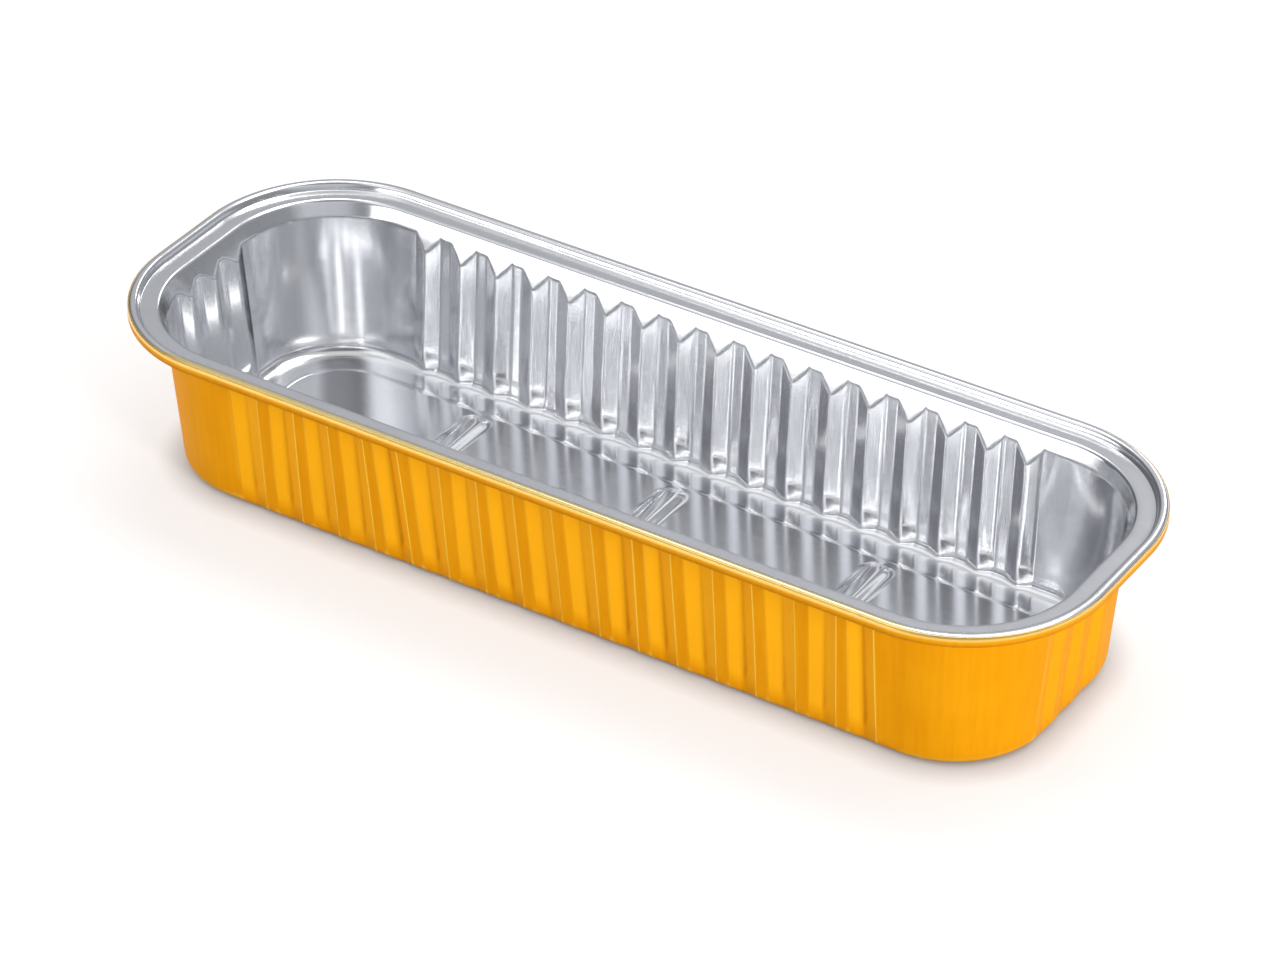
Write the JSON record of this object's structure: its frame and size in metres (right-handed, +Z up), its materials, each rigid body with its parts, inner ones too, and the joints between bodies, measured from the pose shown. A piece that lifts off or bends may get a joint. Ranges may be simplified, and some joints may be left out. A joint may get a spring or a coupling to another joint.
{
  "type": "foil food container",
  "caption": "Oblong pressed foil tray with ribbed walls, rounded corners, a raised bead round a flat sealing rim, floor bars and a gold-lacquered outside.",
  "frame": {"origin": "middle of the footprint, at the underside the tray stands on", "axes": "+X along the tray's length, +Y across it, +Z up towards the rim"},
  "size_m": [0.265, 0.0954, 0.045],
  "materials": {
    "foil_tray": "bright bare aluminium foil, lightly rolled and drawn",
    "gold_lacquer_coat": "transparent gold lacquer over aluminium, glossy"
  },
  "bodies": {
    "root": {"foil_tray": "foil_tray", "gold_lacquer_coat": "gold_lacquer_coat"}
  },
  "joints": []
}
